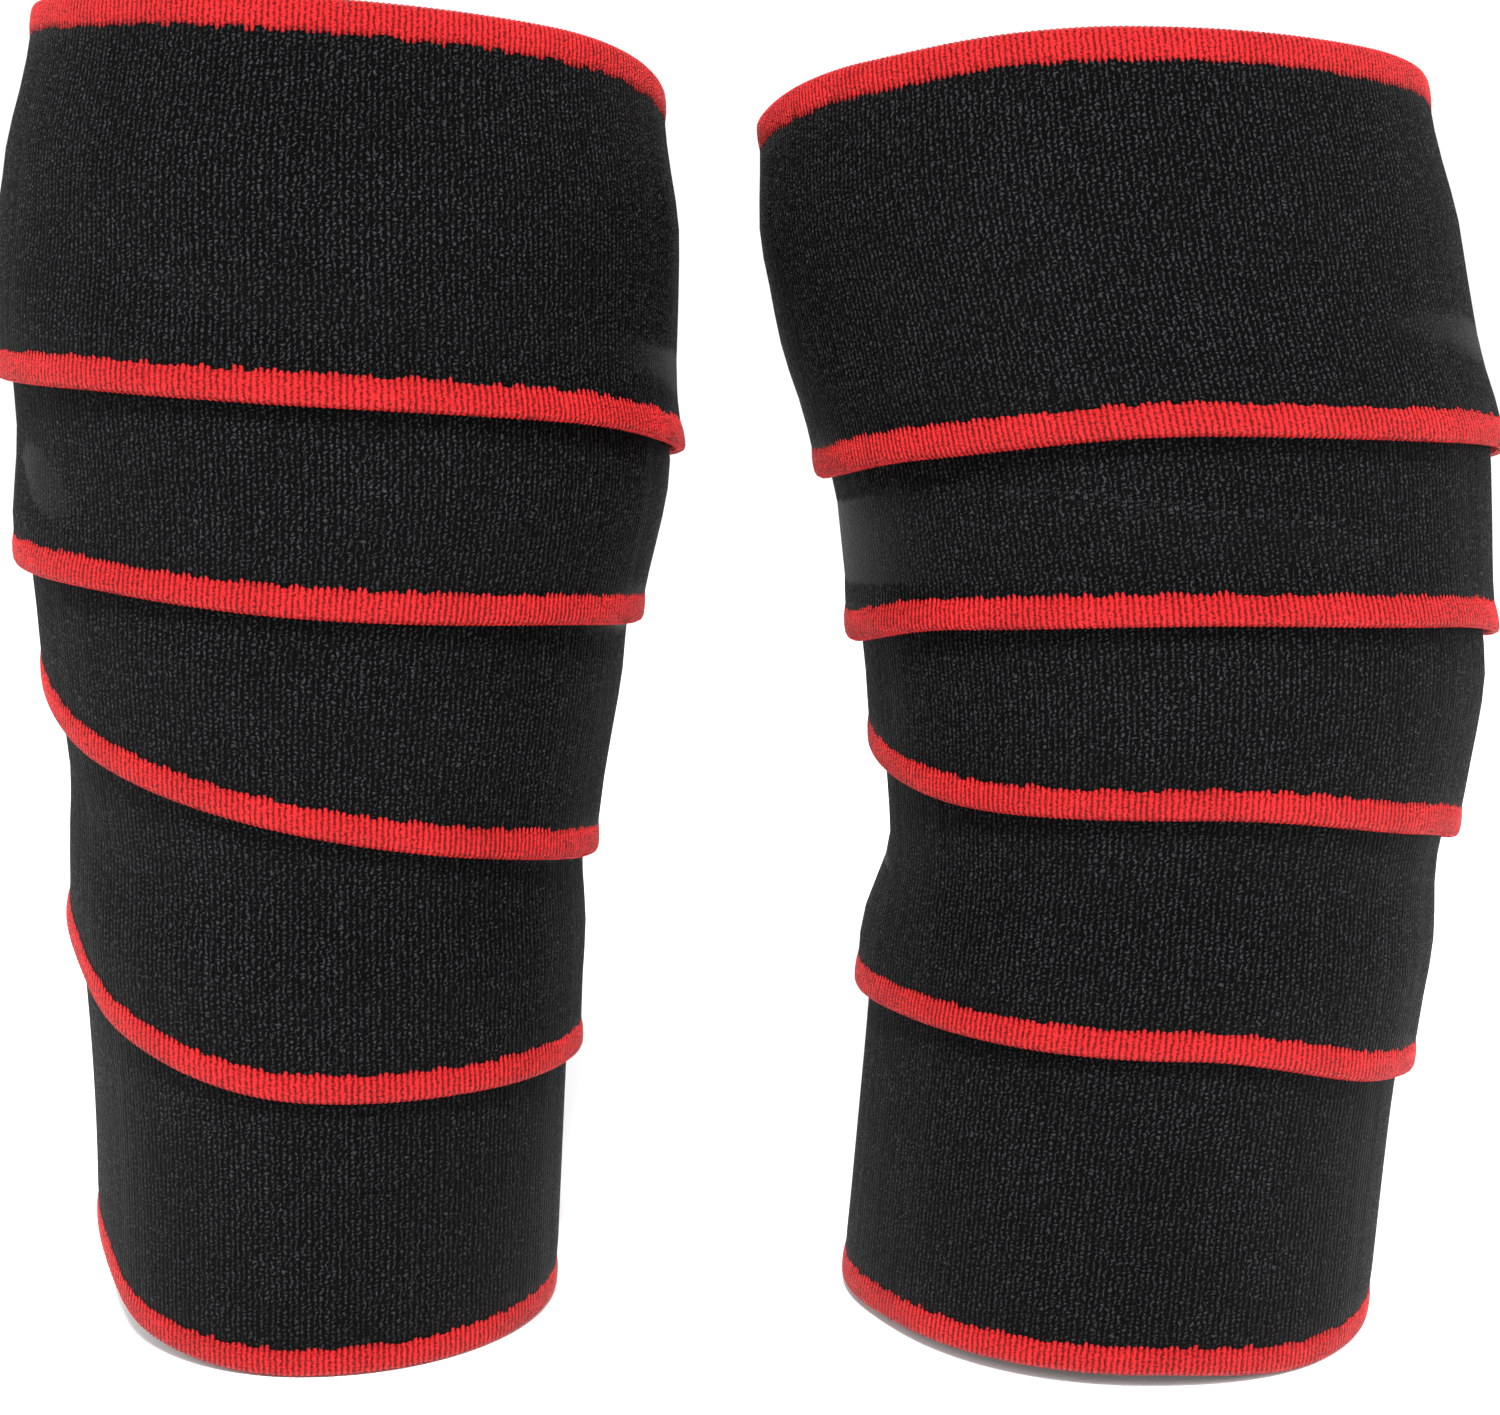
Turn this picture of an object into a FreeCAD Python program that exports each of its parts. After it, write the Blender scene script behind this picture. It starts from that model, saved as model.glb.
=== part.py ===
"""A pair of elastic knee wraps, each one wound into a free-standing leg sleeve.

Every wrap is one long two-ply knitted strip with rubber threads between the plies, a thick
selvedge along both edges, a bound start end, and a hook-and-loop tab that closes it.
All dimensions are in millimetres and degrees.  X runs along the pair, Z is up, and the
origin is on the floor in the middle of the pair.

A point of a strip is given by three coordinates:
  turn      angle travelled along the winding, in degrees from the start end
  across    distance from the lower edge, in millimetres of strip width
  out       distance outwards from the strip's inner face
"""
import FreeCAD
import Part
import math
import os

Vector = FreeCAD.Vector

# ---------------------------------------------------------------- driving sizes (sheet cells)
SIZES = {
    "strip_width": (80.0, "width of the stretched strip"),
    "ply_thickness": (0.8, "thickness of each knitted ply"),
    "rubber_thickness": (0.4, "thickness of the rubber threads between the plies"),
    "rubber_width": (4.0, "width of one rubber thread band"),
    "piece_gap": (0.2, "clearance between pieces sewn or woven together"),
    "layer_gap": (0.4, "clearance between one turn and the turn beneath it"),
    "selvedge_width": (6.5, "width of the thick edge of the strip"),
    "edge_lift": (1.0, "how far the lower edge stands off the turn beneath it"),
    "start_angle": (170.0, "direction of the start end, seen from above"),
    "axis_depth": (-1.6, "Y of both leg axes, which centres the pair and its tails on the origin"),
    "tail_turn": (1815.0, "turn angle where the loose tail begins"),
    "tab_turn": (1865.0, "turn angle where the closing tab begins"),
    "end_turn": (1915.0, "turn angle of the far end of the strip"),
    "cut_gap": (0.4, "gap between two segments that turn against each other"),
    "binding_length": (11.0, "length of the tape folded over a strip end"),
    "binding_thickness": (0.6, "thickness of the folded tape"),
    "patch_thickness": (0.9, "thickness of the hook patch and of the loop patch"),
    "hook_low": (8.0, "distance of the hook patch from the lower edge"),
    "hook_height": (36.0, "height of the hook patch across the strip"),
    "loop_low": (28.0, "distance of the loop patch from the lower edge"),
    "loop_height": (41.0, "height of the loop patch across the strip"),
    "stitch_length": (2.4, "length of one stitch"),
    "stitch_pitch": (4.0, "distance from stitch to stitch"),
    "stitch_width": (0.6, "width of the sewing thread"),
    "row_pitch": (6.0, "spacing of the shape rows across the knit"),
    "blend_height": (26.0, "height over which a turn comes back to the leg above a hidden edge"),
    "station_pitch": (50.0, "height from one leg station to the next"),
}
# Leg form of each wrap at stations one station_pitch apart, from the floor up: radius, axis X.
LEG_RADIUS = {
    "left": (50.1, 51.2, 54.1, 60.2, 67.6, 69.4, 66.2),
    "right": (57.6, 57.3, 59.4, 64.9, 69.0, 72.4, 70.8),
}
LEG_AXIS = {
    "left": (-99.4, -97.8, -97.0, -95.0, -90.9, -90.7, -88.2),
    "right": (86.6, 90.5, 95.2, 97.1, 92.0, 79.6, 72.6),
}
# Height of the lower edge on each turn, at the six directions of EDGE_TURNS.
LOWER_EDGE = {
    "left": (
        (0.0, 0.0, 0.0, 0.0, 4.0, 19.0),
        (40.0, 60.0, 62.5, 64.5, 75.0, 95.0),
        (101.0, 107.5, 115.0, 124.5, 137.0, 153.0),
        (158.0, 162.0, 167.0, 171.0, 176.0, 178.5),
        (190.0, 201.0, 210.0, 214.5, 217.5, 218.5),
        (213.0, 206.0),
    ),
    "right": (
        (0.0, 0.0, 0.0, 3.5, 3.0, 1.5),
        (30.0, 57.0, 65.5, 75.5, 75.5, 74.5),
        (94.0, 111.0, 121.5, 128.5, 127.0, 132.0),
        (146.0, 158.5, 167.0, 170.0, 166.5, 158.0),
        (178.0, 199.5, 206.0, 208.5, 202.5, 195.0),
        (203.0, 203.0),
    ),
}
# Turn angles of those six directions in one turn: back, right, front right, front, front left, left.
EDGE_TURNS = (80.0, 170.0, 215.0, 260.0, 305.0, 350.0)
FLAT_TURN = {"left": 260.0, "right": 215.0}    # the lower edge lies on the floor up to this turn angle

FULL_TURN = 360.0
RAIL_STEP = 10.0        # turn angle between the points that a long edge passes through
START_BLEND = 40.0      # turn angle over which the next turn climbs onto the start end
LIFT_SHARE = 0.25       # share of the width that lifts off towards the lower edge
LIFT_TURNS = (300.0, 420.0)    # the lower edge starts to lift between these turn angles
SLOPE_SPAN = 15.0       # turn angle either side of a point over which its slope is taken
RISE_MARGIN = 5.0       # the strip has risen onto the closing patches this turn angle before the tab
ROW_MARGIN = 0.5        # shape rows nearer than this to an edge of a piece are left out of it
SEAM_PLACE = 0.75       # share of a binding's length at which its seam runs
SEAM_INSET = 3.0        # distance from the strip's edges to the first and last stitch of that seam
HOOK_START = 5.0        # length of strip from the tab's hinge line to the hook patch
HOOK_END = 2.0          # length of strip from the hook patch to the end binding
SAME_WAY = 1            # a ruled face joins two rails that run in the same direction


def make_sheet(doc):
    """Write every driving size into a spreadsheet cell with its own alias."""
    sheet = doc.addObject("Spreadsheet::Sheet", "Sizes")
    cells = [(alias, value, note) for alias, (value, note) in SIZES.items()]
    for side in ("left", "right"):
        for number, (radius, axis) in enumerate(zip(LEG_RADIUS[side], LEG_AXIS[side])):
            cells.append((f"{side}_radius_{number}", radius, f"{side} leg radius, station {number}"))
            cells.append((f"{side}_axis_{number}", axis, f"{side} leg axis, station {number}"))
        for turn, heights in enumerate(LOWER_EDGE[side]):
            for place, height in enumerate(heights):
                alias = f"{side}_edge_{turn}_{place}"
                cells.append((alias, height, f"{side} lower edge, turn {turn}, direction {place}"))
    for row, (alias, value, note) in enumerate(cells, start=1):
        sheet.set(f"A{row}", note)
        sheet.set(f"B{row}", str(value))
        sheet.setAlias(f"B{row}", alias)
    doc.recompute()
    return sheet


def smooth_step(value):
    """Return 0 below 0, 1 above 1 and a smooth rise between them."""
    value = min(max(value, 0.0), 1.0)
    return value * value * (3.0 - 2.0 * value)


class Curve:
    """A smooth curve through given points that never swings past them."""

    def __init__(self, places, values):
        self.places = list(places)
        self.values = list(values)
        spans = list(zip(self.places, self.places[1:], self.values, self.values[1:]))
        steps = [(v1 - v0) / (p1 - p0) for p0, p1, v0, v1 in spans]
        self.slopes = [steps[0]]
        for before, after in zip(steps, steps[1:]):
            level = before * after <= 0.0
            self.slopes.append(0.0 if level else 2.0 * before * after / (before + after))
        self.slopes.append(steps[-1])

    def __call__(self, place):
        place = min(max(place, self.places[0]), self.places[-1])
        index = 0
        while index < len(self.places) - 2 and place > self.places[index + 1]:
            index += 1
        width = self.places[index + 1] - self.places[index]
        share = (place - self.places[index]) / width
        rise = self.values[index + 1] - self.values[index]
        bend = (share - 1.0) * share * width
        return (self.values[index] + rise * smooth_step(share)
                + bend * ((share - 1.0) * self.slopes[index] + share * self.slopes[index + 1]))


class Strip:
    """The wound strip of one wrap: where each of its points lies."""

    def __init__(self, side, sheet):
        self.side = side
        for alias in SIZES:
            setattr(self, alias, float(sheet.get(alias)))
        self.thickness = 2.0 * (self.ply_thickness + self.piece_gap) + self.rubber_thickness
        self.layer_pitch = self.thickness + self.layer_gap
        self.tab_lift = 2.0 * (self.patch_thickness + self.piece_gap)
        self.binding_wall = self.binding_thickness + self.piece_gap
        stations = range(len(LEG_RADIUS[side]))
        heights = [number * self.station_pitch for number in stations]
        self.radius = Curve(heights, [float(sheet.get(f"{side}_radius_{n}")) for n in stations])
        self.axis = Curve(heights, [float(sheet.get(f"{side}_axis_{n}")) for n in stations])
        turns, edges = [EDGE_TURNS[0] - 90.0], [0.0]
        for turn, row in enumerate(LOWER_EDGE[side]):
            for place in range(len(row)):
                turns.append(EDGE_TURNS[place] + FULL_TURN * turn)
                edges.append(float(sheet.get(f"{side}_edge_{turn}_{place}")))
        self.lower_edge = Curve(turns, edges)
        self.rows = self.shape_rows()
        self.cache = {}

    def shape_rows(self):
        """Distances from the lower edge at which the strip's cross-section bends."""
        knit = self.strip_width - 2.0 * self.selvedge_width
        count = max(2, math.ceil(knit / self.row_pitch))
        inner = [self.selvedge_width + knit * number / count for number in range(count + 1)]
        return [0.0] + inner + [self.strip_width]

    def stretch(self, turn):
        """Ratio of the strip's upright extent to its width, where it runs on a slope."""
        turn = max(turn, 0.0)
        rise = self.lower_edge(turn + SLOPE_SPAN) - self.lower_edge(turn - SLOPE_SPAN)
        run = self.radius(self.lower_edge(turn)) * math.radians(2.0 * SLOPE_SPAN)
        return math.hypot(1.0, rise / run)

    def upper_edge(self, turn):
        """Height of the upper edge."""
        return self.lower_edge(turn) + self.strip_width * self.stretch(turn)

    def layers(self, turn, height):
        """Distance of the inner face from the leg: the turns that lie beneath this point.

        The first of them is thicker at its start, where the binding folds round it.
        """
        binding_turn = math.degrees(self.binding_length / self.radius(0.0))
        total = 0.0
        hidden = turn - FULL_TURN
        while hidden > -START_BLEND:
            cover = smooth_step(1.0 + hidden / START_BLEND)
            above = height - self.upper_edge(max(hidden, 0.0)) - self.row_pitch
            cover *= 1.0 - smooth_step(above / self.blend_height)
            past = abs(hidden - 0.5 * binding_turn) - 0.5 * binding_turn - RAIL_STEP
            bound = 1.0 - smooth_step(past / START_BLEND)
            total += cover * (self.layer_pitch + 2.0 * self.binding_wall * bound)
            hidden -= FULL_TURN
        return total

    def lift(self, turn, across):
        """Extra offset: the loose lower edge and the patches under the tab."""
        begin, end = LIFT_TURNS
        loose = smooth_step((turn - begin) / (end - begin))
        share = max(0.0, 1.0 - across / (LIFT_SHARE * self.strip_width))
        total = self.edge_lift * loose * share * share
        rise_span = self.tab_turn - self.tail_turn - RISE_MARGIN
        total += self.tab_lift * smooth_step((turn - self.tail_turn) / rise_span)
        return total

    def row_place(self, turn, row):
        """Leg axis, height and inner radius of the strip at one shape row."""
        key = (round(turn, 4), row)
        if key not in self.cache:
            across = self.rows[row]
            height = self.lower_edge(turn) + across * self.stretch(turn)
            radius = self.radius(height) + self.layers(turn, height) + self.lift(turn, across)
            self.cache[key] = (self.axis(height), height, radius)
        return self.cache[key]

    def point(self, turn, across, out):
        """The point of the strip at these three coordinates."""
        row = 0
        while row < len(self.rows) - 2 and across > self.rows[row + 1]:
            row += 1
        share = (across - self.rows[row]) / (self.rows[row + 1] - self.rows[row])
        low, high = self.row_place(turn, row), self.row_place(turn, row + 1)
        axis, height, radius = [(1.0 - share) * a + share * b for a, b in zip(low, high)]
        angle = math.radians(self.start_angle - turn)
        reach = radius + out
        return Vector(axis + reach * math.cos(angle), self.axis_depth + reach * math.sin(angle), height)

    def arc_turn(self, turn, length):
        """Turn angle that a length along the strip takes near this place."""
        _, _, radius = self.row_place(turn, len(self.rows) // 2)
        return math.degrees(length / radius)


def section(strip, low, high, inner, outer):
    """Corner coordinates (across, out) of a strip cross-section, in order round it."""
    rows = [low] + [row for row in strip.rows if low + ROW_MARGIN < row < high - ROW_MARGIN] + [high]
    return [(row, inner) for row in rows] + [(row, outer) for row in reversed(rows)]


def turn_steps(begin, end):
    """Evenly spaced turn angles from begin to end, at most RAIL_STEP apart."""
    count = max(3, math.ceil((end - begin) / RAIL_STEP))
    return [begin + (end - begin) * number / count for number in range(count + 1)]


def rail(strip, turns, corner):
    """A smooth edge that follows one corner of the section along the strip."""
    curve = Part.BSplineCurve()
    curve.interpolate(Points=[strip.point(turn, *corner) for turn in turns], Parameters=turns)
    return curve.toShape()


def end_faces(strip, turn, corners):
    """The faces that close a section at one turn angle."""
    count = len(corners) // 2
    points = [strip.point(turn, *corner) for corner in corners]
    inner, outer = points[:count], points[:count - 1:-1]
    faces = []
    for index in range(count - 1):
        near = Part.makeLine(inner[index], inner[index + 1])
        far = Part.makeLine(outer[index], outer[index + 1])
        faces.append(Part.makeRuledSurface(near, far))
    return faces


def band(strip, begin, end, low, high, inner, outer, flat_to=None):
    """A closed solid of the strip between two turn angles, two edges and two depths.

    Up to flat_to its lower side is a true plane, so the wrap has a face to stand on.
    """
    corners = section(strip, low, high, inner, outer)
    stops = [begin, end] if flat_to is None else [begin, flat_to, end]
    faces = end_faces(strip, begin, corners) + end_faces(strip, end, corners)
    for number, (first, last) in enumerate(zip(stops, stops[1:])):
        turns = turn_steps(first, last)
        rails = [rail(strip, turns, corner) for corner in corners]
        for index, edge in enumerate(rails):
            before = rails[index - 1]
            if flat_to is not None and number == 0 and index == 0:
                ends = [Part.makeLine(strip.point(turn, *corners[-1]), strip.point(turn, *corners[0]))
                        for turn in (first, last)]
                faces.append(Part.Face(Part.Wire(Part.__sortEdges__([edge, before] + ends))))
            else:
                faces.append(Part.makeRuledSurface(before, edge, SAME_WAY))
    shell = Part.Shell(faces)
    solid = Part.Solid(shell)
    if solid.Volume < 0.0:
        solid.reverse()
    return solid


def stitch(strip, turn, across, out, along):
    """One visible stitch: a short flat bar lying on the strip, along it or across it."""
    step = 0.5
    place = strip.point(turn, across, out)
    forward = strip.point(turn + step, across, out) - strip.point(turn - step, across, out)
    upward = strip.point(turn, across + step, out) - strip.point(turn, across - step, out)
    forward.normalize()
    outward = upward.cross(forward).normalize()
    if outward.dot(place - Vector(strip.axis(place.z), strip.axis_depth, place.z)) < 0.0:
        outward = outward * -1.0
    length = strip.stitch_length if along else strip.stitch_width
    width = strip.stitch_width if along else strip.stitch_length
    height = 0.5 * strip.stitch_width
    bar = Part.makeBox(length, width, height, Vector(-0.5 * length, -0.5 * width, 0.0))
    side = outward.cross(forward)
    turned = FreeCAD.Rotation(forward, side, outward, "XZY")
    bar.Placement = FreeCAD.Placement(place, turned)
    return bar


def evenly(begin, end, pitch):
    """Places from begin to end about one pitch apart."""
    count = max(1, round((end - begin) / pitch))
    return [begin + (end - begin) * number / count for number in range(count + 1)]


def patch_stitches(strip, begin, end, low, high, out):
    """Two upright and two level lines of stitches just inside the edge of a patch."""
    inset = 1.5 * strip.stitch_width
    half = 0.5 * strip.stitch_length
    margin = strip.arc_turn(begin, inset)
    bars = []
    for turn in (begin + margin, end - margin):
        for across in evenly(low + inset + half, high - inset - half, strip.stitch_pitch):
            bars.append(stitch(strip, turn, across, out, along=False))
    turn_pitch = strip.arc_turn(begin, strip.stitch_pitch)
    for across in (low + inset, high - inset):
        for turn in evenly(begin + margin + turn_pitch, end - margin - turn_pitch, turn_pitch):
            bars.append(stitch(strip, turn, across, out, along=True))
    return Part.Compound(bars)


def segment_pieces(strip, name, begin, end, flat_to=None):
    """The five pieces of a stretch of strip: two plies, the rubber threads and two selvedges."""
    width, edge, gap = strip.strip_width, strip.selvedge_width, strip.piece_gap
    inner_top = strip.ply_thickness
    outer_base = strip.thickness - strip.ply_thickness
    low, high = edge + 0.5 * gap, width - edge - 0.5 * gap
    threads = []
    for across, above in zip(strip.rows[1:-1], strip.rows[2:-1]):
        middle = 0.5 * (across + above)
        half = 0.5 * min(strip.rubber_width, above - across - 2.0 * gap)
        threads.append(band(strip, begin, end, middle - half, middle + half, inner_top + gap, outer_base - gap))
    return {
        f"{name}_inner_knit": band(strip, begin, end, low, high, 0.0, inner_top),
        f"{name}_rubber_threads": Part.Compound(threads),
        f"{name}_outer_knit": band(strip, begin, end, low, high, outer_base, strip.thickness),
        f"{name}_lower_selvedge": band(strip, begin, end, 0.0, edge - 0.5 * gap, 0.0, strip.thickness, flat_to),
        f"{name}_upper_selvedge": band(strip, begin, end, width - edge + 0.5 * gap, width, 0.0, strip.thickness),
    }


def binding_pieces(strip, name, turn, direction):
    """The tape folded over a strip end, inside, outside and round the cut, with its stitches."""
    wall, gap = strip.binding_thickness, strip.piece_gap
    outside = strip.thickness + gap
    edges = (gap, strip.strip_width - gap)
    reach = direction * strip.arc_turn(turn, strip.binding_length)
    fold = direction * strip.arc_turn(turn, gap)
    cover = direction * strip.arc_turn(turn, gap + wall)
    far = turn + reach
    leaves = [
        band(strip, *sorted((turn - fold, far)), *edges, outside, outside + wall),
        band(strip, *sorted((turn - fold, far)), *edges, -gap - wall, -gap),
        band(strip, *sorted((turn - cover, turn - fold)), *edges, -gap - wall, outside + wall),
    ]
    tape = leaves[0].fuse(leaves[1:])
    seam = turn + SEAM_PLACE * reach
    bars = [stitch(strip, seam, across, outside + wall + 0.5 * gap, along=False)
            for across in evenly(SEAM_INSET, strip.strip_width - SEAM_INSET, strip.stitch_pitch)]
    return {f"{name}_binding": tape, f"{name}_binding_stitches": Part.Compound(bars)}


def wrap_pieces(strip):
    """Every piece of one wrap, by node name."""
    side = strip.side
    half_cut = 0.5 * strip.arc_turn(strip.tail_turn, strip.cut_gap)
    pieces = segment_pieces(strip, f"{side}_strip", 0.0, strip.tail_turn - half_cut, FLAT_TURN[side])
    pieces.update(segment_pieces(strip, f"{side}_tail", strip.tail_turn + half_cut, strip.tab_turn - half_cut))
    pieces.update(segment_pieces(strip, f"{side}_tab", strip.tab_turn + half_cut, strip.end_turn))
    pieces.update(binding_pieces(strip, f"{side}_start", 0.0, 1.0))
    pieces.update(binding_pieces(strip, f"{side}_tab_end", strip.end_turn, -1.0))

    bound = strip.arc_turn(strip.end_turn, strip.binding_length + HOOK_END)
    hook_begin = strip.tab_turn + strip.arc_turn(strip.tab_turn, HOOK_START)
    hook_end = strip.end_turn - bound
    hook_top = strip.hook_low + strip.hook_height
    loop_top = strip.loop_low + strip.loop_height
    gap, patch = strip.piece_gap, strip.patch_thickness
    pieces[f"{side}_hook_patch"] = band(strip, hook_begin, hook_end, strip.hook_low, hook_top, -gap - patch, -gap)
    pieces[f"{side}_hook_patch_stitches"] = patch_stitches(
        strip, hook_begin, hook_end, strip.hook_low, hook_top, strip.thickness + 0.5 * gap)
    loop_begin, loop_end = hook_begin - FULL_TURN, hook_end - FULL_TURN
    base = strip.thickness + gap
    pieces[f"{side}_loop_patch"] = band(strip, loop_begin, loop_end, strip.loop_low, loop_top, base, base + patch)
    return pieces


def main():
    """Build the document, check every piece and write one STEP file for each."""
    os.makedirs("parts", exist_ok=True)
    doc = FreeCAD.newDocument("knee_wraps")
    sheet = make_sheet(doc)
    for side in ("left", "right"):
        for name, shape in wrap_pieces(Strip(side, sheet)).items():
            piece = doc.addObject("Part::Feature", name)
            piece.Label = name
            piece.Shape = shape
            piece.Placement = FreeCAD.Placement()
    doc.recompute()
    pieces = [item for item in doc.Objects if item.isDerivedFrom("Part::Feature")]
    for item in doc.Objects:
        if "Invalid" in item.State or "Error" in item.State:
            raise RuntimeError(f"{item.Label} did not compute")
    for piece in pieces:
        if piece.Shape.isNull() or not piece.Shape.isValid():
            raise RuntimeError(f"{piece.Label} has no valid shape")
    for piece in pieces:
        piece.Shape.exportStep(f"parts/{piece.Label}.step")


main()
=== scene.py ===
"""Visible model of a pair of elastic knee wraps: knitted plies, ribbed selvedges, tabs and stage."""
import math

import bpy
import numpy as np
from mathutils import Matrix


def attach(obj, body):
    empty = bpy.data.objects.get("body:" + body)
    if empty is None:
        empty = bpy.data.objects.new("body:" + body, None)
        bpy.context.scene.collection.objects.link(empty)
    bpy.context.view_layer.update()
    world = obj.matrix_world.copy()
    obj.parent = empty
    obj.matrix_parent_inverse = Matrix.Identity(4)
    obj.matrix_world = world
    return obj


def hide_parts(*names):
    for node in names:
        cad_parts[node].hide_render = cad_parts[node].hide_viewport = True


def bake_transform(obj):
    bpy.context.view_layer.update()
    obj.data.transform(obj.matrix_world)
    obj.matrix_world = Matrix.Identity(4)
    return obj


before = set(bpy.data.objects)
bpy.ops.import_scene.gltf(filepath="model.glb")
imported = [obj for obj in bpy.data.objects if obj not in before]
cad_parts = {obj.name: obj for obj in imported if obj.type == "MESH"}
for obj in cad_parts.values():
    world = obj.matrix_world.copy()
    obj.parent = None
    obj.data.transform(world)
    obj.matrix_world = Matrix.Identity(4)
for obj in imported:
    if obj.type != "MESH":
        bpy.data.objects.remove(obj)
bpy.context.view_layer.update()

bl_info = {
    "name": "Knee Wraps",
    "version": (1, 0, 0),
    "blender": (4, 5, 0),
    "location": "3D View > Sidebar > Knee Wraps",
    "description": "Builds a pair of wound elastic knee wraps round the packed frame",
    "category": "Add Mesh",
}

SIDES = ("left", "right")
MM = 0.001
FULL_TURN = 360.0

# ------------------------------------------------------------------ the winding, as in the CAD part
STATION_PITCH = 50.0 * MM
LEG_RADIUS = {
    "left": (50.1, 51.2, 54.1, 60.2, 67.6, 69.4, 66.2),
    "right": (57.6, 57.3, 59.4, 64.9, 69.0, 72.4, 70.8),
}
LEG_AXIS = {
    "left": (-99.4, -97.8, -97.0, -95.0, -90.9, -90.7, -88.2),
    "right": (86.6, 90.5, 95.2, 97.1, 92.0, 79.6, 72.6),
}
LOWER_EDGE = {
    "left": (
        (0.0, 0.0, 0.0, 0.0, 4.0, 19.0),
        (40.0, 60.0, 62.5, 64.5, 75.0, 95.0),
        (101.0, 107.5, 115.0, 124.5, 137.0, 153.0),
        (158.0, 162.0, 167.0, 171.0, 176.0, 178.5),
        (190.0, 201.0, 210.0, 214.5, 217.5, 218.5),
        (213.0, 206.0),
    ),
    "right": (
        (0.0, 0.0, 0.0, 3.5, 3.0, 1.5),
        (30.0, 57.0, 65.5, 75.5, 75.5, 74.5),
        (94.0, 111.0, 121.5, 128.5, 127.0, 132.0),
        (146.0, 158.5, 167.0, 170.0, 166.5, 158.0),
        (178.0, 199.5, 206.0, 208.5, 202.5, 195.0),
        (203.0, 203.0),
    ),
}
EDGE_TURNS = (80.0, 170.0, 215.0, 260.0, 305.0, 350.0)
START_ANGLE = 170.0
AXIS_DEPTH = -1.6 * MM
TAIL_TURN, TAB_TURN, END_TURN = 1815.0, 1865.0, 1915.0
ROOT_TURN, TIP_TURN = 1795.0, 1840.0    # where the visible strip is divided, away from both hinges
START_BLEND = 40.0
LIFT_TURNS = (300.0, 420.0)
LIFT_SHARE = 0.25
SLOPE_SPAN = 15.0
BLEND_HEIGHT = 26.0 * MM
BINDING_LENGTH = 11.0 * MM
HOOK_LOW, HOOK_HEIGHT = 8.0 * MM, 36.0 * MM
LOOP_LOW, LOOP_HEIGHT = 28.0 * MM, 41.0 * MM
HOOK_START, HOOK_END = 5.0 * MM, 2.0 * MM    # clear cloth before and after the hook patch
STITCH_LENGTH, STITCH_WIDTH, STITCH_PITCH = 2.4 * MM, 0.6 * MM, 4.0 * MM
STITCH_SINK = 0.1 * MM      # how deep a stitch or a hook's foot lies in what it holds to
BINDING_STITCHES = 19
BINDING_STITCH_BULGE, PATCH_STITCH_BULGE = 0.15 * MM, 0.12 * MM
SEAM_INSET = 3.0 * MM
LONG_STEP = 6.0             # turn angle between columns of a rubber thread in a long stretch
BEND_STEP = 1.0             # the same for a thread in a short stretch, at the tail or the tab
BINDING_REST = 10.0         # turn angle past the binding before the cloth over it starts to sink
BLEND_MARGIN = 6.0 * MM
TAB_LIFT_LEAD = 5.0         # turn angle before the tab's hinge where its lift over the patches is full
STRETCH = 1.15              # worn length of the strip over its slack length
FINE_COLUMNS, FINE_MARGIN = 8000, 20.0    # columns and end margins of the table of lengths

# ------------------------------------------------------------------ the finer shapes
RIB_PITCH = 1.28            # in millimetres of cloth, for the shape and for the materials
KNIT_TUCK = 1.4 * MM        # how far a ply reaches under each selvedge
OUTER_ROWS, INNER_ROWS = 12, 7            # rows of points across the ribbed face of a ply
RIBS_OUTER, RIBS_INNER = 4, 2             # columns of points to each rib
TOOTH_SPAN = 1.7            # ribs to a group of teeth of a selvedge
TOOTH_GROUP, TOOTH_OWN, TOOTH_START = 0.9, 0.6, -0.2    # a tooth's reach in mm: by group, by rib, shortest
RIM_NOTCH = 0.22 * MM       # how far the free edge draws in between two ribs
THREAD_COUNT, THREAD_SPREAD = 22, 4.0     # rubber threads side by side, and their width over thickness
BINDING_ROWS, FOLD_STEPS = 60, 9
PATCH_ROWS, PATCH_RIM = 40, 0.8 * MM
HOOK_PATCH_COLUMNS, LOOP_PATCH_COLUMNS = 60, 70
HOOK_ROW_PITCH, HOOK_COLUMNS = 1.6 * MM, 26
HOOK_LEAN, HOOK_HALF_WIDTH = 0.45 * MM, 0.16 * MM
HOOK_INSET = 0.8            # turn angle from the ends of the patch to its first and last hooks
HOOK_TIP_ROOM = 0.1 * MM    # how far the tips stay inside the patch's thickness
# share of a bar's length at each of its rings, and share of its width there
BAR_STATIONS = np.array((0.0, 0.08, 0.35, 0.65, 0.92, 1.0))
BAR_SWELL = np.array((0.25, 0.8, 1.0, 1.0, 0.8, 0.25))

# ------------------------------------------------------------------ the stage
FLOOR_REACH = 80.0
WORLD_STRENGTH = 1.08
# name, place, point aimed at, width, height, power in watts
LIGHTS = (
    ("key", (0.02, -1.05, 1.3), (0.0, 0.0, 0.15), 0.35, 0.35, 62.0),
    ("fill_left", (-0.9, -1.0, 0.9), (0.0, 0.0, 0.15), 0.45, 0.6, 5.0),
    ("fill_right", (0.9, -1.0, 0.9), (0.0, 0.0, 0.15), 0.45, 0.6, 9.0),
)
CAMERA_DISTANCE, CAMERA_HEIGHT = 0.600, 0.238
CAMERA_TILT = 9.12          # degrees below the level
CAMERA_LENS, CAMERA_SENSOR = 62.9, 36.0


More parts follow.
